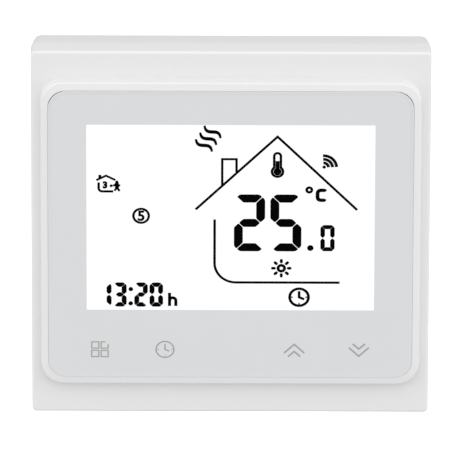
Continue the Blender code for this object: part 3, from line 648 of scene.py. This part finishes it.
def lit_display():
    """The display's face, held behind the window's lip."""
    spare = mm(0.9)
    front, back = GLASS_Y
    rings = [window_ring(back - mm(0.1), spare), window_ring(front + WINDOW_LIP, spare)]
    return piece("lit_display", loft(rings, caps=True), "lcd", FRONT)


# ---- Thin print and display segments ---------------------------------------------
def rounded_path(points, radius, closed=False, steps=4):
    """The path with each corner drawn as a curve that starts radius before it."""
    count = len(points)
    made = []
    for i, point in enumerate(points):
        if not closed and i in (0, count - 1):
            made.append(point)
            continue
        corner = Vector(point)
        before = Vector(points[i - 1]) - corner
        after = Vector(points[(i + 1) % count]) - corner
        start = corner + before.normalized() * min(radius, before.length * 0.45)
        end = corner + after.normalized() * min(radius, after.length * 0.45)
        for k in range(steps + 1):
            t = k / steps
            spot = start * (1 - t) ** 2 + corner * 2 * t * (1 - t) + end * t ** 2
            made.append((spot.x, spot.y))
    return made


class Stencil:
    """Flat shapes of one thin layer on a face that looks to -Y; numbers are millimetres
    from the stencil's centre."""

    def __init__(self, centre_x, centre_z, face_y, thickness=INK):
        self.centre = (centre_x, centre_z)
        self.front = face_y - thickness
        self.back = face_y + mm(0.01)
        self.bm = bmesh.new()

    def _row(self, points, y):
        x0, z0 = self.centre
        return [self.bm.verts.new((x0 + mm(x), y, z0 + mm(z))) for x, z in points]

    def area(self, outline):
        """A filled outline."""
        front, back = self._row(outline, self.front), self._row(outline, self.back)
        self.bm.faces.new(front)
        self.bm.faces.new(list(reversed(back)))
        for i in range(len(front)):
            j = (i + 1) % len(front)
            self.bm.faces.new((front[i], back[i], back[j], front[j]))
        return self

    def line(self, points, width, closed=False):
        """A stroke with mitred joints; width is a number or one for each point."""
        widths = width if isinstance(width, list) else [width] * len(points)
        left, right = [], []
        count = len(points)
        for i, point in enumerate(points):
            here = Vector(point)
            before = here - Vector(points[i - 1]) if closed or i else None
            after = Vector(points[(i + 1) % count]) - here if closed or i < count - 1 else None
            before = (before or after).normalized()
            after = (after or before).normalized()
            along = (before + after).normalized()
            side = Vector((-along.y, along.x)) / max(along.dot(before), 0.3)
            left.append(tuple(here + side * widths[i] / 2))
            right.append(tuple(here - side * widths[i] / 2))
        rows = [self._row(points_, y) for y in (self.front, self.back) for points_ in (left, right)]
        front_left, front_right, back_left, back_right = rows
        for i in range(count if closed else count - 1):
            j = (i + 1) % count
            self.bm.faces.new((front_left[i], front_right[i], front_right[j], front_left[j]))
            self.bm.faces.new((back_left[i], back_left[j], back_right[j], back_right[i]))
            self.bm.faces.new((front_left[i], front_left[j], back_left[j], back_left[i]))
            self.bm.faces.new((front_right[i], back_right[i], back_right[j], front_right[j]))
        if not closed:
            for i in (0, count - 1):
                self.bm.faces.new((front_left[i], back_left[i], back_right[i], front_right[i]))
        return self

    def disc(self, x, z, radius, steps=20):
        return self.area(arc((x, z), radius, 0.0, 360.0, steps)[:-1])

    def ring(self, x, z, radius, width, steps=40):
        return self.line(arc((x, z), radius, 0.0, 360.0, steps)[:-1], width, closed=True)

    def glyph(self, body, x, z, height, weight=0.0):
        """A generic figure in Blender's own font, its middle at the given place."""
        curve = bpy.data.curves.new("glyph", "FONT")
        curve.body = body
        curve.align_x = "CENTER"
        curve.align_y = "CENTER"
        curve.offset = weight
        curve.resolution_u = 4
        guide = bpy.data.objects.new("glyph", curve)
        bpy.context.scene.collection.objects.link(guide)
        bpy.context.view_layer.update()
        graph = bpy.context.evaluated_depsgraph_get()
        mesh = bpy.data.meshes.new_from_object(guide.evaluated_get(graph))
        bpy.data.objects.remove(guide, do_unlink=True)
        low = [min(vert.co[k] for vert in mesh.vertices) for k in (0, 1)]
        high = [max(vert.co[k] for vert in mesh.vertices) for k in (0, 1)]
        scale = mm(height) / (high[1] - low[1])
        flat = bmesh.new()
        flat.from_mesh(mesh)
        for vert in flat.verts:
            vert.co = Vector((
                self.centre[0] + mm(x) + (vert.co.x - (low[0] + high[0]) / 2) * scale,
                self.front,
                self.centre[1] + mm(z) + (vert.co.y - (low[1] + high[1]) / 2) * scale,
            ))
        raised = bmesh.ops.extrude_face_region(flat, geom=list(flat.faces))
        grown = [item for item in raised["geom"] if isinstance(item, bmesh.types.BMVert)]
        bmesh.ops.translate(flat, verts=grown, vec=(0.0, self.back - self.front, 0.0))
        flat.to_mesh(mesh)
        flat.free()
        self.bm.from_mesh(mesh)
        bpy.data.meshes.remove(mesh)
        return self

    def segments(self, x, z, width, height, stroke, lit, gap):
        """A seven-segment figure; x and z are its lower left corner."""
        tip, shoulder = stroke * 0.27, stroke * 0.68
        middle = height / 2
        flat = [
            (tip + gap, height - tip), (shoulder, height), (width - shoulder, height),
            (width - tip - gap, height - tip), (width - stroke - gap, height - stroke),
            (stroke + gap, height - stroke),
        ]
        upright = [
            (width - tip, height - tip - gap), (width, height - shoulder),
            (width, middle + stroke / 2 + gap), (width - stroke / 2, middle + gap),
            (width - stroke, middle + stroke / 2 + gap), (width - stroke, height - stroke - gap),
        ]
        half = stroke / 2
        cross = [
            (half + gap, middle), (stroke + gap, middle + half),
            (width - stroke - gap, middle + half), (width - half - gap, middle),
            (width - stroke - gap, middle - half), (stroke + gap, middle - half),
        ]
        shapes = {
            "a": flat,
            "b": upright,
            "c": [(px, height - pz) for px, pz in upright],
            "d": [(px, height - pz) for px, pz in flat],
            "e": [(width - px, height - pz) for px, pz in upright],
            "f": [(width - px, pz) for px, pz in upright],
            "g": cross,
        }
        for letter in lit:
            outline = [(x + px, z + pz) for px, pz in shapes[letter]]
            self.area(rounded_path(outline, stroke * 0.16, closed=True, steps=3))
        return self

    def done(self, name, look):
        return piece(name, self.bm, look, FRONT)


# ---- What the display shows ------------------------------------------------------
def on_display(aside=0.0, above=0.0):
    """A stencil on the display, with its centre so far from the window's middle."""
    return Stencil(mm(aside), WINDOW_Z + mm(above), GLASS_Y[0] + WINDOW_LIP)


THIN = 0.56                   # millimetres: stroke of the house and the small symbols


def temperature():
    """Large 25.0 with its degree sign."""
    shown = on_display()
    big = {"width": 6.72, "height": 13.55, "stroke": 1.93, "gap": 0.1}
    small = {"width": 3.08, "height": 6.25, "stroke": 0.98, "gap": 0.02}
    shown.segments(0.72, -7.96, lit="abged", **big)
    shown.segments(8.56, -7.96, lit="afgcd", **big)
    shown.disc(17.23, -7.14, 0.7)
    shown.segments(19.38, -7.9, lit="abcdef", **small)
    shown.ring(16.92, 6.7, 0.56, 0.6)
    bow = arc((19.41, 5.92), 0.7, 90.0, 180.0, 4) + arc((19.41, 4.96), 0.7, 180.0, 270.0, 4)
    letter = [(20.68, 6.66), (20.26, 6.62)] + bow + [(20.16, 4.26), (20.58, 4.3)]
    shown.line(letter, [0.3] + [0.84] * (len(letter) - 2) + [0.3])
    return shown.done("segments_temperature", "segment")


def time_of_day():
    """13:20 h."""
    shown = on_display()
    digit = {"width": 2.93, "height": 5.8, "stroke": 1.08, "gap": 0.03}
    foot = -21.3
    shown.segments(-28.62, foot, lit="bc", **digit)
    shown.segments(-25.36, foot, lit="abgcd", **digit)
    shown.disc(-21.52, -17.1, 0.51).disc(-21.55, -20.52, 0.51)
    shown.segments(-20.78, foot, lit="abged", **digit)
    shown.segments(-17.48, foot, lit="abcdef", **digit)
    shown.line([(-13.15, -17.95), (-13.15, -21.13)], 0.68)
    bow = arc((-12.47, -19.82), 0.68, 150.0, 0.0, 8)
    shown.line([(-13.15, -20.0)] + bow + [(-11.79, -21.13)], 0.68)
    return shown.done("segments_time", "segment")


def house():
    """Roof with chimney, and the wall line that turns into the floor line."""
    shown = on_display()
    shown.line([(-7.55, 1.98), (10.06, 19.3), (27.27, 1.95)], THIN)
    shown.line([(-1.83, 7.75), (-1.83, 13.95), (1.25, 13.95), (1.25, 10.9)], THIN * 0.95)
    wall = [(-3.44, -0.38)] + arc((1.16, -10.82), 4.6, 180.0, 270.0, 16) + [(23.6, -15.42)]
    shown.line(wall, THIN)
    return shown.done("segments_house", "segment")


def thermometer():
    shown = on_display()
    x, bulb_z, top_z, level_z = 10.06, 11.01, 14.7, 13.56
    bulb, tube, column = 1.2, 0.72, 0.42
    neck = math.degrees(math.asin(tube / bulb))
    outline = arc((x, bulb_z), bulb, 90.0 + neck, 450.0 - neck, 24)
    outline += arc((x, top_z), tube, 0.0, 180.0, 10)
    shown.line(outline, 0.56, closed=True)
    shown.disc(x, bulb_z, 0.88)
    left, right = x - column, x + column
    shown.area([(left, bulb_z), (right, bulb_z), (right, level_z), (left, level_z)])
    return shown.done("segments_thermometer", "segment")


def radio_waves():
    shown = on_display()
    shown.disc(20.09, 12.14, 0.38)
    for radius in (1.07, 1.93, 2.79):
        shown.line(arc((19.96, 12.05), radius, 93.0, 2.0, 12), THIN * 1.2)
    return shown.done("segments_radio_waves", "segment")


def sun():
    shown = on_display()
    middle = Vector((10.98, -12.0))
    shown.ring(*middle, 0.7, 0.66)
    for i in range(8):
        direction = Vector((math.cos(math.pi / 4 * i), math.sin(math.pi / 4 * i)))
        ray = [tuple(middle + direction * reach) for reach in (1.22, 1.7, 2.2)]
        shown.line(ray, [0.48, 0.72, 0.48])
    return shown.done("segments_sun", "segment")


def clock_face(shown, x, z, radius, stroke, minute, hour):
    """Ring with two hands and three ticks; the hands are offsets from the middle."""
    shown.ring(x, z, radius, stroke)
    hands = [(x + minute[0], z + minute[1]), (x, z), (x + hour[0], z + hour[1])]
    shown.line(hands, stroke * 0.95)
    for side_x, side_z in ((-1, 0), (1, 0), (0, -1)):
        ends = [(x + side_x * radius * part, z + side_z * radius * part) for part in (0.9, 0.66)]
        shown.line(ends, stroke * 0.5)
    return shown


def programme_clock():
    shown = clock_face(on_display(), 14.86, -18.93, 2.04, 0.62, (0.0, 1.45), (1.12, -0.5))
    return shown.done("segments_programme_clock", "segment")


def heat_waves():
    """Three tapered waves beside the chimney."""
    shown = on_display()
    steps = 14
    along = Vector((3.48, -2.98))
    side = Vector((along.y, -along.x)).normalized()
    for start in ((-5.67, 21.88), (-6.6, 20.26), (-7.52, 18.69)):
        points, widths = [], []
        for i in range(steps + 1):
            t = i / steps
            sway = side * 0.58 * math.sin(2 * math.pi * t)
            points.append(tuple(Vector(start) + along * t + sway))
            widths.append(0.46 + 0.38 * math.sin(math.pi * t))
        shown.line(points, widths)
    return shown.done("segments_heat_waves", "segment")


def at_home():
    """Small house with a mark inside and a walking figure outside."""
    shown = on_display(-0.12, -0.05)
    shown.line([(-28.8, 8.93), (-26.71, 10.0), (-24.7, 8.96)], 0.5)
    shown.line([(-28.04, 9.4), (-28.04, 10.2)], 0.62)
    wall = [(-28.3, 8.4)] + arc((-27.55, 7.02), 0.75, 180.0, 270.0, 6) + [(-25.15, 6.27)]
    shown.line(wall, 0.54)
    shown.glyph("3", -26.93, 7.82, 1.75, 0.07)
    shown.disc(-25.6, 7.6, 0.34)
    shown.disc(-24.39, 8.5, 0.36)
    shown.line([(-24.38, 8.3), (-24.36, 7.05)], 0.86)
    shown.line([(-25.2, 7.62), (-24.4, 7.98), (-23.68, 7.6)], 0.5)
    shown.line([(-24.88, 6.42), (-24.36, 7.25), (-23.8, 6.34)], 0.5)
    return shown.done("segments_at_home", "segment")


def day_number():
    shown = on_display()
    shown.ring(-19.29, 0.43, 1.66, 0.54)
    shown.glyph("5", -19.29, 0.43, 2.5, 0.038)
    return shown.done("segments_day_number", "segment")


# ---- Printed touch keys ----------------------------------------------------------
PRINT_ASIDE = mm(-0.2)        # from a touch spring's middle to its key symbol
PRINT_ABOVE = mm(0.14)
KEY_LINE = 0.36               # millimetres: stroke of the printed key symbols


def on_key(number):
    low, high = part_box(f"touch_spring_{number}")
    middle = (low + high) / 2
    return Stencil(middle.x + PRINT_ASIDE, middle.z + PRINT_ABOVE, GLASS_Y[0], PRINT)


def menu_key():
    """Four squares, the upper right one open at its outer corner."""
    shown = on_key(1)
    reach, half, stroke = 1.02, 0.76, 0.27
    corners = ((-1, -1), (1, -1), (1, 1), (-1, 1))
    for sx, sz in ((-1, 1), (-1, -1), (1, -1)):
        square = [(sx * reach + px * half, sz * reach + pz * half) for px, pz in corners]
        shown.line(square, stroke, closed=True)
    near, far = reach - half, reach + half
    top_end, side_end = reach + half * 0.25, reach + half * 0.35
    shown.line([(top_end, far), (near, far), (near, near), (far, near), (far, side_end)], stroke)
    return shown.done("print_menu_key", "key_print")


def clock_key():
    shown = clock_face(on_key(2), 0.0, 0.0, 1.92, 0.3, (0.0, 1.35), (0.93, -0.42))
    return shown.done("print_clock_key", "key_print")


def arrow_key(number, name, way):
    """Two nested chevrons; way is 1 for up and -1 for down."""
    shown = on_key(number)
    drop = -0.1
    for half, tip, foot in ((2.18, 1.4, -0.68), (1.34, -0.32, -1.55)):
        peak, base = drop + tip * way, drop + foot * way
        shown.line([(-half, base), (0.0, peak), (half, base)], KEY_LINE)
    return shown.done(name, "key_print")


# ---- Screws with real threads ----------------------------------------------------
def thread_radius(turn, minor, major):
    """Trapezoid thread profile over one turn from 0 to 1."""
    ramp = min(1.0, max(0.0, 1.6 - 4.2 * abs(turn - 0.5)))
    return minor + (major - minor) * ramp


def threaded_screw(node, major, minor, pitch, head_height):
    """Pan head with a cross recess and a helical thread, in the space of its CAD node."""
    low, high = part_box(node)
    x, z = (low.x + high.x) / 2, (low.z + high.z) / 2
    head_r = (high.x - low.x) / 2
    sides = 24
    per_turn = 8
    seat = low.y + head_height
    rings = []

    def ring(y, radius_at):
        loop = []
        for i in range(sides):
            angle = 2 * math.pi * i / sides
            radius = radius_at(angle)
            loop.append((x + radius * math.cos(angle), z + radius * math.sin(angle)))
        rings.append((y, loop))

    dome_steps = 6
    for i in range(dome_steps + 1):
        angle = math.pi / 2 * i / dome_steps
        y = low.y + head_height * 0.9 * (1 - math.cos(angle))
        ring(y, lambda _, a=angle: head_r * (0.45 + 0.55 * math.sin(a)))
    ring(seat - mm(0.05), lambda _: head_r)
    ring(seat, lambda _: head_r - mm(0.08))
    ring(seat, lambda _: minor + mm(0.1))
    plain_end = seat + pitch
    steps = round((high.y - mm(1.2) - plain_end) / pitch * per_turn)
    for i in range(steps + 1):
        y = plain_end + i * pitch / per_turn
        fade = min(1.0, i / per_turn, (steps - i) / per_turn)
        ring(y, lambda angle, y=y, fade=fade: thread_radius(
            (y / pitch + angle / (2 * math.pi)) % 1.0, minor, minor + (major - minor) * fade
        ))
    ring(high.y, lambda _: minor * 0.55)
    shape = loft(rings, caps=True)
    screw = piece(node + "_threaded", shape, "zinc_steel", WALL_PART)
    reach, width, depth = head_r * 0.62, head_r * 0.13, head_height * 0.62
    cuts = []
    for half_x, half_z in ((reach, width), (width, reach)):
        top = [(x + px, z + pz) for px, pz in rounded_loop(half_x, half_z, width * 0.4, steps=2)]
        taper = rounded_loop(half_x * 0.6, half_z * 0.8, width * 0.3, steps=2)
        foot = [(x + px, z + pz) for px, pz in taper]
        above = (low.y - mm(0.2), top)
        cuts.append(cutter(node + "_recess", loft([above, (low.y + depth, foot)], caps=True)))
    carve(screw, cuts)
    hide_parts(node)
    return shade_by_angle(screw, 40.0)


def terminal_numbers():
    """Raised pole numbers over the terminal screws, to be read from behind."""
    block_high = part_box("terminal_block")[1]
    figure_height, raised, spare = 1.9, mm(0.12), mm(0.4)
    shown = Stencil(0.0, 0.0, 0.0, raised)
    for number in range(1, 7):
        screw_low, screw_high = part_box(f"terminal_screw_{number}")
        aside = -(screw_low.x + screw_high.x) / 2 / mm(1)   # the half turn below swaps sides
        shown.glyph(str(number), aside, 0.0, figure_height, 0.02)
    middle_z = (block_high.z + screw_high.z + spare) / 2
    place = Matrix.Translation((0.0, block_high.y, middle_z)) @ Matrix.Rotation(math.pi, 4, "Z")
    bmesh.ops.transform(shown.bm, matrix=place, verts=shown.bm.verts)
    return piece("terminal_numbers", shown.bm, "white_abs", WALL_PART)


# ---- Carried-over CAD nodes ------------------------------------------------------
def refine(name, look, width):
    """Small rounded edges and a real material on a CAD node, its own mesh untouched."""
    node = NODES[name]
    node.data.materials.clear()
    node.data.materials.append(LOOKS[look])
    node.data.shade_smooth()
    weld = node.modifiers.new("weld", "WELD")
    weld.merge_threshold = mm(0.002)
    flatten = node.modifiers.new("flatten", "DECIMATE")
    flatten.decimate_type = "DISSOLVE"
    flatten.angle_limit = math.radians(0.5)
    bevel = node.modifiers.new("edges", "BEVEL")
    bevel.width = width
    bevel.segments = 2
    bevel.limit_method = "ANGLE"
    bevel.angle_limit = math.radians(38.0)
    node.modifiers.new("weighted_normals", "WEIGHTED_NORMAL")


def numbered(name, count):
    return tuple(f"{name}_{i}" for i in range(1, count + 1))


REFINED = (
    ("white_abs", mm(0.15), ("lcd_holder", "rear_cover")),
    ("acrylic", mm(0.2), ("backlight_diffuser",)),
    ("lcd", mm(0.1), ("lcd_panel",)),
    ("tape", mm(0.05), ("glass_adhesive",)),
    ("silicone", mm(0.1), ("lcd_connector",)),
    ("circuit_board", mm(0.08), ("main_board", "power_board")),
    ("spring_steel", mm(0.04), numbered("touch_spring", 4)),
    ("spring_steel", mm(0.1), ("relay_yoke", "relay_armature")),
    ("chip_black", mm(0.12), ("microcontroller",)),
    ("module", mm(0.12), ("wifi_module",)),
    ("sensor", mm(0.03), ("room_sensor",)),
    ("header", mm(0.08), ("pin_header",)),
    ("connector_black", mm(0.12), ("socket_header",)),
    ("zinc_steel", mm(0.1), numbered("case_screw", 4)),
    ("zinc_steel", mm(0.1), numbered("box_screw", 4)),
    ("zinc_steel", mm(0.15), ("mounting_plate",)),
    ("box_white", mm(0.3), ("power_box",)),
    ("relay_blue", mm(0.2), ("relay_case",)),
    ("copper", mm(0.1), ("relay_coil",)),
    ("contact", mm(0.08), ("relay_contact",)),
    ("ferrite", mm(0.2), ("transformer",)),
    ("capacitor_sleeve", mm(0.1), ("supply_capacitor",)),
    ("film_yellow", mm(0.2), ("filter_capacitor",)),
    ("varistor_blue", mm(0.1), ("varistor",)),
    ("fuse_beige", mm(0.08), ("fuse",)),
    ("terminal_green", mm(0.15), ("terminal_block",)),
    ("zinc_steel", mm(0.1), numbered("terminal_screw", 6)),
    ("brass", mm(0.12), numbered("terminal_clamp", 6)),
    ("brass", mm(0.1), numbered("terminal_bar", 6)),
)


# ---- Stage, light and camera -----------------------------------------------------
CAMERA_ELEVATION = math.radians(25.36)
CAMERA_DISTANCE = 2.427
CAMERA_LENS = 876.2                     # millimetres, on a sensor of the width below
CAMERA_SENSOR = 36.0
CAMERA_ROLL = math.radians(0.17)
SKY = 0.668                             # mean brightness of the soft surround
SKY_SLOPE = (0.02, -0.33, 0.355)        # how it changes towards +X, +Y and +Z
AIM_ASIDE = mm(-0.12)
AIM_BELOW = mm(3.88)                    # how far under the origin it aims, in its own upright


def floor():
    """Pale round floor a little below the thermostat, which hangs on a wall in use."""
    radius, height = 2.5, -0.22
    bm = bmesh.new()
    bmesh.ops.create_circle(bm, cap_ends=True, segments=96, radius=radius)
    bmesh.ops.translate(bm, verts=bm.verts, vec=(0.0, 0.1, height))
    mesh = bpy.data.meshes.new("floor")
    bm.to_mesh(mesh)
    bm.free()
    mesh.materials.append(floor_surface())
    disc = bpy.data.objects.new("floor", mesh)
    disc.visible_diffuse = False
    disc.visible_glossy = False
    disc.visible_shadow = False
    bpy.context.scene.collection.objects.link(disc)


def softbox(name, place, width, height, power, glossy=True):
    """Area light aimed at the origin; without gloss it leaves no highlight on metal."""
    light = bpy.data.lights.new(name, "AREA")
    light.shape = "RECTANGLE"
    light.size = width
    light.size_y = height
    light.energy = power
    lamp = bpy.data.objects.new(name, light)
    lamp.location = place
    lamp.rotation_euler = (-Vector(place)).to_track_quat("-Z", "Y").to_euler()
    lamp.visible_camera = False
    lamp.visible_glossy = glossy
    bpy.context.scene.collection.objects.link(lamp)


def studio():
    world = bpy.data.worlds.new("studio")
    world.use_nodes = True
    nodes, links = world.node_tree.nodes, world.node_tree.links
    direction = nodes.new("ShaderNodeTexCoord")
    slope = nodes.new("ShaderNodeVectorMath")
    slope.operation = "DOT_PRODUCT"
    slope.inputs[1].default_value = SKY_SLOPE
    lift = nodes.new("ShaderNodeMath")
    lift.inputs[1].default_value = SKY
    links.new(direction.outputs["Generated"], slope.inputs[0])
    links.new(slope.outputs["Value"], lift.inputs[0])
    background = nodes["Background"]
    background.inputs["Color"].default_value = (1.0, 1.0, 1.0, 1.0)
    links.new(lift.outputs["Value"], background.inputs["Strength"])
    bpy.context.scene.world = world
    softbox("key", (0.05, -0.52, 0.62), 0.55, 0.55, 0.7)
    softbox("left", (-1.6, -0.25, 0.3), 1.0, 1.0, 7.2, glossy=False)
    softbox("right", (1.6, -0.25, 0.3), 1.0, 1.0, 7.6, glossy=False)
    softbox("back", (0.3, 1.7, -0.8), 1.2, 1.2, 14.0, glossy=False)
    bpy.context.scene.view_settings.view_transform = "Standard"


def camera():
    elevation = CAMERA_ELEVATION
    back = Vector((0.0, -math.cos(elevation), math.sin(elevation)))
    upright = Vector((0.0, math.sin(elevation), math.cos(elevation)))
    aim = upright * -AIM_BELOW + Vector((AIM_ASIDE, 0.0, 0.0))
    data = bpy.data.cameras.new("camera")
    data.lens = CAMERA_LENS
    data.sensor_width = CAMERA_SENSOR
    eye = bpy.data.objects.new("camera", data)
    eye.location = aim + back * CAMERA_DISTANCE
    turn = (-back).to_track_quat("-Z", "Y").to_matrix() @ Matrix.Rotation(CAMERA_ROLL, 3, "Z")
    eye.rotation_euler = turn.to_euler()
    bpy.context.scene.collection.objects.link(eye)
    bpy.context.scene.camera = eye


# ---- Build -----------------------------------------------------------------------
camera()
studio()
floor()
front_shell()
printed_glass()
lit_display()
for symbol in (
    temperature, time_of_day, house, thermometer, radio_waves, sun, programme_clock, heat_waves,
    at_home, day_number, menu_key, clock_key,
):
    symbol()
arrow_key(3, "print_up_key", 1)
arrow_key(4, "print_down_key", -1)
terminal_numbers()
for screw_node in ("mounting_screw_left", "mounting_screw_right"):
    threaded_screw(
        screw_node, major=mm(1.85), minor=mm(1.45), pitch=mm(0.75), head_height=mm(2.1)
    )
for look_name, edge, members in REFINED:
    for member in members:
        refine(member, look_name, edge)
